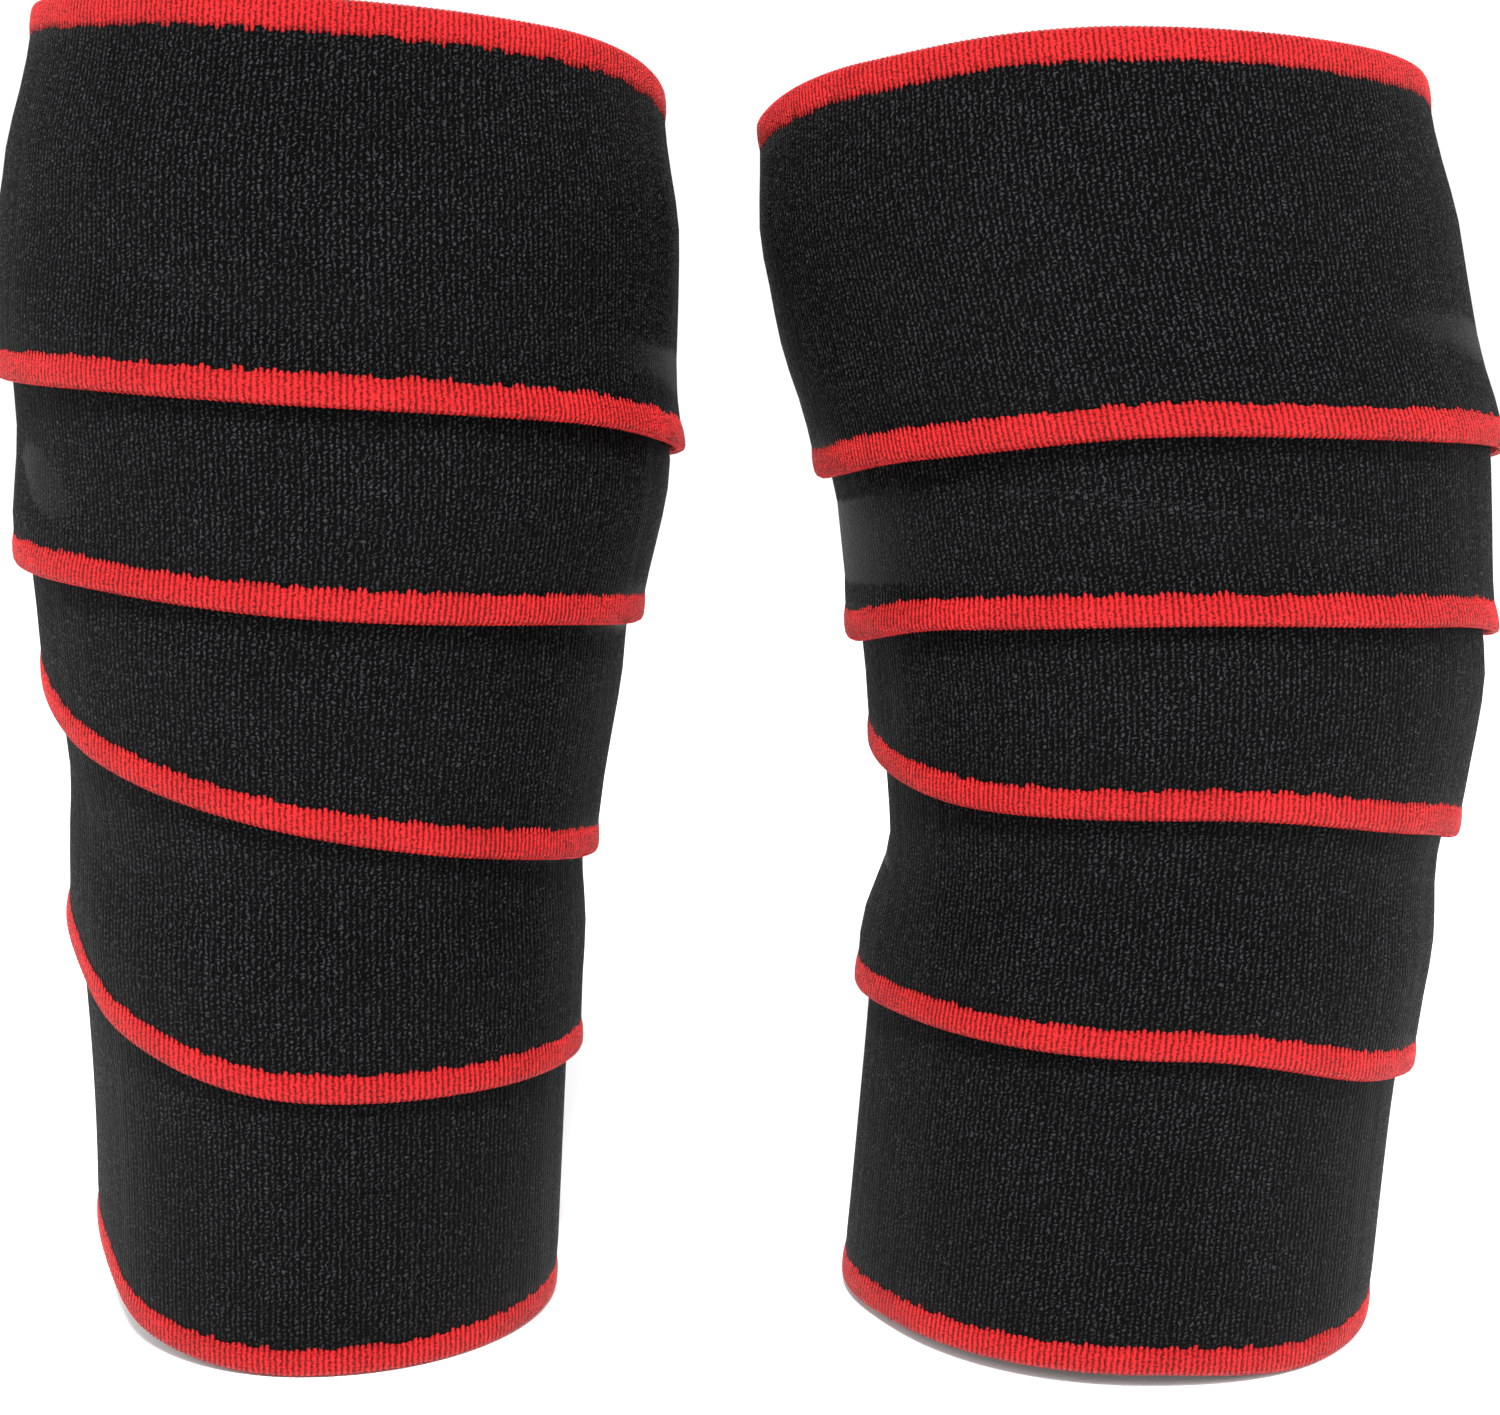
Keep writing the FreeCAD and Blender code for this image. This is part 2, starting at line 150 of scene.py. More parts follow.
class WrapSizes(bpy.types.PropertyGroup):
    """Sizes of the wraps that a user may change."""

    strip_width: bpy.props.FloatProperty(
        name="Strip Width", description="Width of the elastic strip", default=80 * MM, unit="LENGTH")
    ply: bpy.props.FloatProperty(
        name="Ply", description="Thickness of one knitted ply", default=0.8 * MM, precision=4, unit="LENGTH")
    rubber: bpy.props.FloatProperty(
        name="Rubber", description="Thickness of a rubber thread", default=0.4 * MM,
        precision=4, unit="LENGTH")
    gap: bpy.props.FloatProperty(
        name="Piece Gap", description="Clearance between sewn pieces", default=0.2 * MM,
        precision=4, unit="LENGTH")
    layer_gap: bpy.props.FloatProperty(
        name="Layer Gap", description="Clearance between turns", default=0.4 * MM, precision=4, unit="LENGTH")
    selvedge: bpy.props.FloatProperty(
        name="Selvedge", description="Width of the thick edge", default=6.5 * MM, precision=4, unit="LENGTH")
    edge_lift: bpy.props.FloatProperty(
        name="Edge Lift", description="How far a lower edge stands off", default=1.0 * MM,
        precision=4, unit="LENGTH")
    rib_pitch: bpy.props.FloatProperty(
        name="Rib Pitch", description="Distance from rib to rib", default=RIB_PITCH * MM,
        precision=5, unit="LENGTH")
    rib_relief: bpy.props.FloatProperty(
        name="Rib Relief", description="Height of a knitted rib", default=0.2 * MM,
        precision=5, unit="LENGTH")
    edge_bulge: bpy.props.FloatProperty(
        name="Edge Bulge", description="Extra thickness of a selvedge on each side", default=0.4 * MM,
        precision=5, unit="LENGTH")
    patch: bpy.props.FloatProperty(
        name="Patch", description="Thickness of the hook and loop patches", default=0.9 * MM,
        precision=4, unit="LENGTH")
    binding: bpy.props.FloatProperty(
        name="Binding", description="Thickness of the end tape", default=0.6 * MM, precision=4, unit="LENGTH")


class WrapColours(bpy.types.PropertyGroup):
    """Yarn colours of the wraps: each yarn's colour given as a painted shade for its grooves and a painted
    highlight for its raised loops or ribs, and the floor's colour.
    """

    # knit: near-black painted shade in the grooves of the knit; knit_light: painted highlight on its raised
    # loops
    knit: bpy.props.FloatVectorProperty(
        name="Knit", description="Yarn of the knit", subtype="COLOR",
        default=(0.0003, 0.0003, 0.0004), min=0, max=1)
    knit_light: bpy.props.FloatVectorProperty(
        name="Knit Highlight", description="Raised loops of the knit", subtype="COLOR",
        default=(0.042, 0.042, 0.045), min=0, max=1)
    # edge: dark red painted shade in the grooves between the selvedge's ribs; edge_light: painted highlight
    # on the raised ribs
    edge: bpy.props.FloatVectorProperty(
        name="Edge", description="Yarn in the grooves of the selvedge", subtype="COLOR",
        default=(0.10, 0.0010, 0.0015), min=0, max=1)
    edge_light: bpy.props.FloatVectorProperty(
        name="Edge Highlight", description="Raised ribs of the selvedge", subtype="COLOR",
        default=(0.68, 0.016, 0.018), min=0, max=1)
    # rubber: painted shade in the grooves of the threads' cover; rubber_light: painted highlight on its
    # raised yarn
    rubber: bpy.props.FloatVectorProperty(
        name="Rubber", description="Cover of the rubber threads", subtype="COLOR",
        default=(0.09, 0.085, 0.08), min=0, max=1)
    rubber_light: bpy.props.FloatVectorProperty(
        name="Rubber Highlight", description="Raised yarn of the threads' cover", subtype="COLOR",
        default=(0.13, 0.12, 0.11), min=0, max=1)
    stage: bpy.props.FloatVectorProperty(
        name="Stage", description="Floor", subtype="COLOR", default=(0.97, 0.97, 0.97), min=0, max=1)


# ------------------------------------------------------------------ shape functions
def smooth_step(value):
    """Three times the square less twice the cube of the value, held between 0 and 1."""
    value = np.clip(value, 0.0, 1.0)
    return value * value * (3.0 - 2.0 * value)


def scatter(number):
    """A repeatable value from 0 to 1 for each whole number: the fraction of a large sine."""
    return np.modf(np.abs(np.sin(np.asarray(number) * 12.9898 + 4.1) * 43758.5453))[0]


class Curve:
    """A smooth curve through given points that never swings past them."""

    def __init__(self, places, values):
        self.places = np.asarray(places, float)
        self.values = np.asarray(values, float)
        steps = np.diff(self.values) / np.diff(self.places)
        product = steps[:-1] * steps[1:]
        total = np.where(product > 0.0, steps[:-1] + steps[1:], 1.0)
        inner = np.where(product > 0.0, 2.0 * product / total, 0.0)
        self.slopes = np.concatenate(([steps[0]], inner, [steps[-1]]))

    def __call__(self, place):
        """Cubic between neighbouring points, with their slopes as its end slopes."""
        place = np.clip(place, self.places[0], self.places[-1])
        index = np.clip(np.searchsorted(self.places, place, side="right") - 1, 0, len(self.places) - 2)
        width = self.places[index + 1] - self.places[index]
        share = (place - self.places[index]) / width
        rise = self.values[index + 1] - self.values[index]
        bow = (share - 1.0) * share * width
        return (self.values[index] + rise * smooth_step(share)
                + bow * ((share - 1.0) * self.slopes[index] + share * self.slopes[index + 1]))


class Strip:
    """The wound strip of one wrap, as a function of turn angle, distance across and distance out."""

    def __init__(self, side, sizes):
        self.side = side
        self.sizes = sizes
        self.thickness = 2.0 * (sizes.ply + sizes.gap) + sizes.rubber
        self.tab_lift = 2.0 * (sizes.patch + sizes.gap)
        stations = np.arange(len(LEG_RADIUS[side])) * STATION_PITCH
        self.radius = Curve(stations, np.array(LEG_RADIUS[side]) * MM)
        self.axis = Curve(stations, np.array(LEG_AXIS[side]) * MM)
        turns, edges = [EDGE_TURNS[0] - 90.0], [0.0]
        for turn, row in enumerate(LOWER_EDGE[side]):
            turns += [place + FULL_TURN * turn for place in EDGE_TURNS[:len(row)]]
            edges += [height * MM for height in row]
        self.lower_edge = Curve(turns, edges)
        self.fine_turns = np.linspace(-FINE_MARGIN, END_TURN + FINE_MARGIN, FINE_COLUMNS)
        centre = self.place(self.fine_turns, 0.5 * sizes.strip_width)[2]
        steps = centre[:-1] * np.radians(np.diff(self.fine_turns))
        self.fine_lengths = np.concatenate(([0.0], np.cumsum(steps)))
        self.fine_lengths -= np.interp(0.0, self.fine_turns, self.fine_lengths)

    def length_at(self, turn):
        """Length of strip wound up to a turn angle, along the middle of its width."""
        return np.interp(turn, self.fine_turns, self.fine_lengths)

    def turn_at(self, length):
        """Turn angle reached after a length of strip."""
        return np.interp(length, self.fine_lengths, self.fine_turns)

    def stretch(self, turn):
        """Upright extent over width: the hypotenuse of 1 and the lower edge's slope."""
        turn = np.maximum(turn, 0.0)
        rise = self.lower_edge(turn + SLOPE_SPAN) - self.lower_edge(turn - SLOPE_SPAN)
        run = self.radius(self.lower_edge(turn)) * math.radians(2.0 * SLOPE_SPAN)
        return np.hypot(1.0, rise / run)

    def layers(self, turn, height):
        """Distance of the inner face from the leg: one pitch for each turn that lies beneath.

        The first of them is thicker at its start, where the binding folds round it.
        """
        wall = self.sizes.binding + self.sizes.gap
        binding_turn = math.degrees(BINDING_LENGTH / self.radius(0.0))
        total = 0.0
        for count in range(1, int(END_TURN // FULL_TURN) + 1):
            hidden = turn - FULL_TURN * count
            cover = smooth_step(1.0 + hidden / START_BLEND)
            edge = np.maximum(hidden, 0.0)
            top = self.lower_edge(edge) + self.sizes.strip_width * self.stretch(edge)
            cover = cover * (1.0 - smooth_step((height - top - BLEND_MARGIN) / BLEND_HEIGHT))
            past = np.abs(hidden - 0.5 * binding_turn) - 0.5 * binding_turn - BINDING_REST
            bound = 1.0 - smooth_step(past / START_BLEND)
            total = total + cover * (self.thickness + self.sizes.layer_gap + 2.0 * wall * bound)
        return total

    def lift(self, turn, across):
        """Extra offset: a square of the nearness to the loose lower edge, and the patches under the tab."""
        begin, end = LIFT_TURNS
        loose = smooth_step((turn - begin) / (end - begin))
        share = np.maximum(0.0, 1.0 - across / (LIFT_SHARE * self.sizes.strip_width))
        total = self.sizes.edge_lift * loose * share * share
        raised = smooth_step((turn - TAIL_TURN) / (TAB_TURN - TAIL_TURN - TAB_LIFT_LEAD))
        return total + self.tab_lift * raised

    def place(self, turn, across):
        """Leg axis, height and inner radius of the strip."""
        height = self.lower_edge(turn) + across * self.stretch(turn)
        radius = self.radius(height) + self.layers(turn, height) + self.lift(turn, across)
        return self.axis(height), height, radius

    def points(self, turn, across, out):
        """Points of the strip: the leg's circle at each height, opened by the offsets."""
        axis, height, radius = self.place(turn, across)
        angle = np.radians(START_ANGLE - turn)
        reach = radius + out
        return np.stack((axis + reach * np.cos(angle), AXIS_DEPTH + reach * np.sin(angle), height), axis=-1)


# ------------------------------------------------------------------ mesh helpers
def tube_faces(columns, ring):
    """Quads between neighbouring columns of a closed ring of points."""
    column = np.arange(columns - 1)[:, None] * ring
    here = np.arange(ring)[None, :]
    after = (here + 1) % ring
    quads = np.stack((column + here, column + after, column + ring + after, column + ring + here), axis=-1)
    return quads.reshape(-1, 4)


def end_faces(columns, ring):
    """The first and the last ring of points as faces, each turned outwards."""
    return [np.arange(ring)[::-1], np.arange(ring) + (columns - 1) * ring]


def add_piece(name, mesh, material):
    """Put a mesh into the scene as one smooth piece."""
    mesh.polygons.foreach_set("use_smooth", np.ones(len(mesh.polygons), bool))
    mesh.materials.append(material)
    piece = bpy.data.objects.new(name, mesh)
    bpy.context.scene.collection.objects.link(piece)
    return piece


def make_piece(name, points, coords, material):
    """A closed mesh from a grid of points: columns along the piece, a closed ring across it.

    Each ring runs anticlockwise for someone who looks back along the piece from its far end, so that
    the faces point outwards.
    coords holds the piece's own UV place of every grid point, in millimetres of cloth.
    """
    columns, ring = points.shape[:2]
    quads = tube_faces(columns, ring)
    corners = np.concatenate([quads.ravel()] + end_faces(columns, ring))
    starts = np.concatenate((np.arange(len(quads)) * 4, len(quads) * 4 + np.array([0, ring])))
    mesh = bpy.data.meshes.new(name)
    mesh.vertices.add(columns * ring)
    mesh.vertices.foreach_set("co", points.reshape(-1).astype(np.float32))
    mesh.loops.add(len(corners))
    mesh.loops.foreach_set("vertex_index", corners.astype(np.int32))
    mesh.polygons.add(len(starts))
    mesh.polygons.foreach_set("loop_start", starts.astype(np.int32))
    mesh.update(calc_edges=True)
    layer = mesh.uv_layers.new(name="cloth")
    layer.data.foreach_set("uv", coords.reshape(-1, 2)[corners].reshape(-1).astype(np.float32))
    mesh.validate()
    return add_piece(name, mesh, material)


def strip_piece(name, strip, turn, across, out, material):
    """A closed piece of strip from arrays of the three strip coordinates, columns by ring.

    The ring goes up the outer face and down the inner face.
    """
    turn, across, out = np.broadcast_arrays(turn, across, out)
    points = strip.points(turn, across, out)
    coords = np.stack((strip.length_at(turn), across), axis=-1) / MM
    return make_piece(name, points, coords, material)


def rib_columns(strip, begin, end, per_rib):
    """Turn angles from begin to end, per_rib of them to each knitted rib, with both ends kept."""
    pitch = strip.sizes.rib_pitch
    first, last = strip.length_at(begin), strip.length_at(end)
    numbers = np.arange(math.floor(first / pitch * per_rib) + 1, math.ceil(last / pitch * per_rib))
    return strip.turn_at(np.concatenate(([first], numbers * pitch / per_rib, [last])))


def rib_wave(strip, turn):
    """Rib height from 0 to 1: a cosine of the length, with each rib scaled by its own scatter."""
    ribs = strip.length_at(turn) / strip.sizes.rib_pitch
    size = 0.7 + 0.3 * scatter(np.round(ribs))
    return (0.5 + 0.5 * np.cos(2.0 * np.pi * ribs)) * size


# ------------------------------------------------------------------ the pieces of a stretch of strip
def knit_reach(sizes):
    """Where a ply begins and ends across the strip, tucked under both selvedges."""
    return sizes.selvedge - KNIT_TUCK, sizes.strip_width - sizes.selvedge + KNIT_TUCK


def outer_knit(name, strip, begin, end, material):
    """The outer ply: a ribbed face between the selvedges, backed by a flat one."""
    sizes = strip.sizes
    turn = rib_columns(strip, begin, end, RIBS_OUTER)[:, None]
    low, high = knit_reach(sizes)
    face = np.linspace(low, high, OUTER_ROWS)
    across = np.concatenate((face, [high, 0.5 * (low + high), low]))[None, :]
    relief = np.concatenate(([-0.3], np.ones(OUTER_ROWS - 2), [-0.3], np.zeros(3)))[None, :]
    back = strip.thickness - sizes.ply
    base = np.concatenate((np.full(OUTER_ROWS, strip.thickness), np.full(3, back)))[None, :]
    out = base + sizes.rib_relief * np.where(relief > 0.0, rib_wave(strip, turn), relief)
    return strip_piece(name, strip, turn, across, out, material)


def inner_knit(name, strip, begin, end, material):
    """The inner ply: a plainer ribbed face against the leg, and a flat one against the rubber."""
    sizes = strip.sizes
    turn = rib_columns(strip, begin, end, RIBS_INNER)[:, None]
    low, high = knit_reach(sizes)
    face = np.linspace(low, high, INNER_ROWS)
    across = np.concatenate(([low, 0.5 * (low + high), high], face[::-1]))[None, :]
    relief = np.concatenate((np.zeros(4), np.ones(INNER_ROWS - 2), [0.0]))[None, :]
    base = np.concatenate((np.full(3, sizes.ply), np.zeros(INNER_ROWS)))[None, :]
    out = base - 0.4 * sizes.rib_relief * relief * rib_wave(strip, turn)
    return strip_piece(name, strip, turn, across, out, material)


# Half-section of a selvedge: share of its width from the free edge, share of the half thickness.
EDGE_SECTION = ((1.0, 0.80), (0.72, 1.0), (0.42, 1.0), (0.20, 0.90), (0.07, 0.62), (0.0, 0.0))


def selvedge(name, strip, begin, end, upper, material):
    """One thick edge: a rounded section whose ribs cross it, and whose teeth run into the knit.

    The ribs are a cosine of the length. A tooth is as wide as its rib and reaches in by its group's scatter
    and its own.
    """
    sizes = strip.sizes
    turn = rib_columns(strip, begin, end, RIBS_OUTER)[:, None]
    half = 0.5 * strip.thickness + sizes.edge_bulge
    shares = np.array(EDGE_SECTION)
    shares = np.concatenate((shares, shares[-2::-1] * (1.0, -1.0)))
    ribs = strip.length_at(turn) / sizes.rib_pitch
    wave = 0.5 + 0.5 * np.cos(2.0 * np.pi * ribs)
    group, own = scatter(np.floor(ribs / TOOTH_SPAN) + 0.5), scatter(np.round(ribs) + 0.5)
    notch = TOOTH_GROUP * group + TOOTH_OWN * own + TOOTH_START
    tooth = notch * np.clip(2.0 * wave, 0.0, 1.0)
    width = shares[:, 0][None, :] * sizes.selvedge
    width = width + np.where(shares[:, 0] == 1.0, 1.0, 0.0)[None, :] * (tooth * MM - 0.1 * MM)
    width = width + np.where(shares[:, 0] < 0.1, 1.0, 0.0)[None, :] * (1.0 - wave) * RIM_NOTCH
    swell = shares[:, 1][None, :] * (half - (1.0 - wave) * sizes.rib_relief)
    out = 0.5 * strip.thickness + swell
    across = sizes.strip_width - width if upper else width
    if not upper:
        across, out = across[:, ::-1], out[:, ::-1]
    return strip_piece(name, strip, turn, across, out, material)


def rubber_threads(name, strip, begin, end, material):
    """Covered rubber threads side by side between the plies, each of a flat four-sided section."""
    sizes = strip.sizes
    step = LONG_STEP if end - begin > FULL_TURN else BEND_STEP
    turn = np.linspace(begin, end, round((end - begin) / step) + 1)[:, None]
    knit = sizes.strip_width - 2.0 * sizes.selvedge
    middle = 0.5 * strip.thickness
    radius = 0.5 * sizes.rubber
    corners = np.radians((45.0, 135.0, 225.0, 315.0))
    threads = []
    for number in range(THREAD_COUNT):
        centre = sizes.selvedge + knit * (number + 0.5) / THREAD_COUNT
        across = centre - THREAD_SPREAD * radius * np.cos(corners)[None, :]
        out = middle + radius * np.sin(corners)[None, :]
        threads.append(strip_piece(f"{name}_{number}", strip, turn, across, out, material))
    return join(threads, name)


def end_binding(name, strip, turn, direction, material):
    """The tape folded over a strip end: a rounded hairpin section swept up the strip's width."""
    sizes = strip.sizes
    reach = direction * math.degrees(BINDING_LENGTH / strip.radius(strip.lower_edge(turn)))
    wall, gap = sizes.binding, sizes.gap
    middle, half = 0.5 * strip.thickness, 0.5 * strip.thickness + gap
    fold = np.linspace(0.0, np.pi, FOLD_STEPS)
    degrees_per_metre = math.degrees(1.0 / strip.radius(strip.lower_edge(turn)))
    rings = []
    for thick in (wall, 0.0):
        arm = half + thick
        bow = np.sin(fold) * (gap + thick) * -direction * degrees_per_metre
        rings.append((np.concatenate(([reach], bow, [reach])),
                      middle + arm * np.concatenate(([1.0], np.cos(fold), [-1.0]))))
    shift = np.concatenate((rings[0][0], rings[1][0][::-1]))
    out = np.concatenate((rings[0][1], rings[1][1][::-1]))
    across = np.linspace(gap, sizes.strip_width - gap, BINDING_ROWS)[:, None]
    if direction < 0.0:
        shift, out = shift[::-1], out[::-1]
    turn_grid, across_grid, out_grid = np.broadcast_arrays(turn + shift[None, :], across, out[None, :])
    points = strip.points(turn_grid, across_grid, out_grid)
    fold_length = np.linspace(0.0, 2.0 * BINDING_LENGTH / MM, len(shift))[None, :]
    coords = np.stack(np.broadcast_arrays(across / MM, fold_length), axis=-1)
    return make_piece(name, points, coords, material)


def slab(name, strip, turns, low, high, inner, outer, material):
    """A thin patch that follows the strip: turns gives its columns, inner and outer its faces.

    Its thickness falls in a straight line to three fifths over the rim at its long sides.
    """
    turn = turns[:, None]
    face = np.linspace(low, high, PATCH_ROWS)
    across = np.concatenate((face, face[::-1]))[None, :]
    out = np.repeat((outer, inner), PATCH_ROWS)[None, :]
    rim = np.minimum(1.0, np.minimum(across - low, high - across) / PATCH_RIM)
    middle = 0.5 * (inner + outer)
    out = middle + (out - middle) * (0.6 + 0.4 * rim)
    return strip_piece(name, strip, turn, across, out, material)


def bars(name, strip, places, material):
    """Stitches or hooks: a rounded bar from each start to each end, bulging outwards in the middle.

    places holds arrays of (turn, across, out) starts and ends, then a half width and a bulge. A bar is a
    six-sided ring carried along its line and swollen in the middle, and the bulge is a sine of its length.
    """
    starts, ends, width, bulge = places
    angles = np.linspace(0.0, 2.0 * np.pi, 6, endpoint=False)
    line = starts[:, None, :] + (ends - starts)[:, None, :] * BAR_STATIONS[None, :, None]
    rise = bulge * np.sin(np.pi * BAR_STATIONS)[None, :]
    line = strip.points(line[..., 0], line[..., 1], line[..., 2] + rise)
    along = line[:, -1:] - line[:, :1]
    along = along / np.linalg.norm(along, axis=-1, keepdims=True)
    turn = np.radians(START_ANGLE - starts[:, 0])
    outward = np.stack((np.cos(turn), np.sin(turn), np.zeros_like(turn)), axis=-1)[:, None, :]
    outward = outward - along * np.sum(outward * along, axis=-1, keepdims=True)
    outward = outward / np.linalg.norm(outward, axis=-1, keepdims=True)
    sideways = np.cross(outward, along)
    ring = np.cos(angles)[:, None] * sideways[:, :, None, :]
    ring = ring + np.sin(angles)[:, None] * outward[:, :, None, :]
    points = line[:, :, None, :] + width * BAR_SWELL[None, :, None, None] * ring
    count, rows, corners = points.shape[:3]
    size = rows * corners
    mesh = bpy.data.meshes.new(name)
    faces = [tuple(face) for face in (*tube_faces(rows, corners), *end_faces(rows, corners))]
    shifts = range(0, count * size, size)
    mesh.from_pydata(points.reshape(-1, 3), [],
                     [tuple(v + shift for v in face) for shift in shifts for face in faces])
    layer = mesh.uv_layers.new(name="cloth")
    flat = np.stack(np.meshgrid(BAR_STATIONS * STITCH_LENGTH / MM, angles, indexing="ij"), axis=-1)
    flat = np.tile(flat.reshape(-1, 2), (count, 1))
    order = np.empty(len(mesh.loops), np.int32)
    mesh.loops.foreach_get("vertex_index", order)
    layer.data.foreach_set("uv", flat[order].reshape(-1).astype(np.float32))
    return add_piece(name, mesh, material)


def degrees_along(strip, turn, length):
    """Turn angle that a length of strip takes near a place."""
    return math.degrees(length / float(strip.place(turn, 0.5 * strip.sizes.strip_width)[2]))


def seam_stitches(name, strip, turn, direction, material):
    """One upright line of short stitches on the outer leaf of a folded tape."""
    sizes = strip.sizes
    seam = turn + 0.75 * direction * degrees_along(strip, turn, BINDING_LENGTH)
    across = np.linspace(SEAM_INSET, sizes.strip_width - SEAM_INSET, BINDING_STITCHES)
    out = strip.thickness + sizes.gap + sizes.binding - STITCH_SINK
    starts = np.stack(np.broadcast_arrays(seam, across - 0.5 * STITCH_LENGTH, out), axis=-1)
    ends = np.stack(np.broadcast_arrays(seam, across + 0.5 * STITCH_LENGTH, out), axis=-1)
    return bars(name, strip, (starts, ends, 0.5 * STITCH_WIDTH, BINDING_STITCH_BULGE), material)


def patch_places(strip):
    """Turn angles of the hook patch's two ends."""
    begin = TAB_TURN + degrees_along(strip, TAB_TURN, HOOK_START)
    return begin, END_TURN - degrees_along(strip, END_TURN, BINDING_LENGTH + HOOK_END)


def patch_stitches(name, strip, material):
    """A square of stitches through the tab, just inside the edge of the hook patch beneath."""
    begin, end = patch_places(strip)
    inset = 1.5 * STITCH_WIDTH
    margin = degrees_along(strip, begin, inset)
    pitch = degrees_along(strip, begin, STITCH_PITCH)
    low, high = HOOK_LOW + inset, HOOK_LOW + HOOK_HEIGHT - inset
    half = 0.5 * STITCH_LENGTH
    half_turn = degrees_along(strip, begin, half)
    out = strip.thickness + STITCH_SINK
    upright = round((high - low - 2.0 * half) / STITCH_PITCH) + 1
    starts, ends = [], []
    for turn in (begin + margin, end - margin):
        for across in np.linspace(low + half, high - half, upright):
            starts.append((turn, across - half, out))
            ends.append((turn, across + half, out))
    first, last = begin + margin + pitch, end - margin - pitch
    for across in (low, high):
        for turn in np.linspace(first, last, round((last - first) / pitch) + 1):
            starts.append((turn - half_turn, across, out))
            ends.append((turn + half_turn, across, out))
    places = (np.array(starts), np.array(ends), 0.5 * STITCH_WIDTH, PATCH_STITCH_BULGE)
    return bars(name, strip, places, material)


def hook_patch(name, strip, material):
    """The hook tape on the inner side of the tab: a thin base and rows of small hooks.

    Each hook leans along the strip by its own scatter.
    """
    sizes = strip.sizes
    begin, end = patch_places(strip)
    base = -sizes.gap - 0.4 * sizes.patch
    turns = np.linspace(begin, end, HOOK_PATCH_COLUMNS)
    tape = slab(f"{name}_base", strip, turns, HOOK_LOW, HOOK_LOW + HOOK_HEIGHT, base, -sizes.gap, material)
    rows = np.arange(HOOK_LOW + 1.2 * MM, HOOK_LOW + HOOK_HEIGHT - 1.0 * MM, HOOK_ROW_PITCH)
    across, turn = np.meshgrid(rows, np.linspace(begin + HOOK_INSET, end - HOOK_INSET, HOOK_COLUMNS))
    lean = degrees_along(strip, begin, HOOK_LEAN)
    feet = np.full(across.size, base + STITCH_SINK)
    tips = np.full(across.size, -sizes.gap - sizes.patch + HOOK_TIP_ROOM)
    sway = lean * (2.0 * scatter(np.arange(across.size)) - 0.4)
    starts = np.stack((turn.ravel(), across.ravel(), feet), axis=-1)
    ends = np.stack((turn.ravel() + sway, across.ravel(), tips), axis=-1)
    hooks = bars(f"{name}_hooks", strip, (starts, ends, HOOK_HALF_WIDTH, 0.0), material)
    return join([tape, hooks], name)


def loop_patch(name, strip, material):
    """The loop tape on the turn beneath the tab: a slab whose pile is in its material."""
    sizes = strip.sizes
    begin, end = patch_places(strip)
    base = strip.thickness + sizes.gap
    turns = np.linspace(begin, end, LOOP_PATCH_COLUMNS) - FULL_TURN
    return slab(name, strip, turns, LOOP_LOW, LOOP_LOW + LOOP_HEIGHT, base, base + sizes.patch, material)


def join(parts, name):
    """Make several meshes one object."""
    bpy.ops.object.select_all(action="DESELECT")
    for part in parts:
        part.select_set(True)
    bpy.context.view_layer.objects.active = parts[0]
    bpy.ops.object.join()
    parts[0].name = name
    parts[0].data.name = name
    return parts[0]


# ------------------------------------------------------------------ materials
def node_group(name, inputs, outputs):
    """A shader node group with named sockets; each is (name, socket type, default or None)."""
    group = bpy.data.node_groups.new(name, "ShaderNodeTree")
    for label, kind, value in inputs:
        socket = group.interface.new_socket(name=label, in_out="INPUT", socket_type=kind)
        if value is not None:
            socket.default_value = value
    for label, kind in outputs:
        group.interface.new_socket(name=label, in_out="OUTPUT", socket_type=kind)
    return group, group.nodes.new("NodeGroupInput"), group.nodes.new("NodeGroupOutput")


class Graph:
    """Short calls that add linked nodes to one tree."""

    def __init__(self, tree):
        self.tree = tree

    def node(self, kind, settings=None, **inputs):
        """Add a node, set its properties and connect or set its inputs by name."""
        item = self.tree.nodes.new(kind)
        for label, value in (settings or {}).items():
            setattr(item, label, value)
        for label, value in inputs.items():
            self.feed(item, label.replace("_", " "), value)
        return item

    def feed(self, item, label, value):
        """Connect a socket to an input, or set the input's value."""
        socket = item.inputs[int(label)] if label.isdigit() else item.inputs[label]
        if isinstance(value, bpy.types.NodeSocket):
            self.tree.links.new(value, socket)
        else:
            socket.default_value = value

    def math(self, operation, first, second=0.0, third=0.0):
        """Add a Math node and return its value."""
        item = self.tree.nodes.new("ShaderNodeMath")
        item.operation = operation
        for index, value in enumerate((first, second, third)):
            if isinstance(value, bpy.types.NodeSocket):
                self.tree.links.new(value, item.inputs[index])
            else:
                item.inputs[index].default_value = value
        return item.outputs[0]


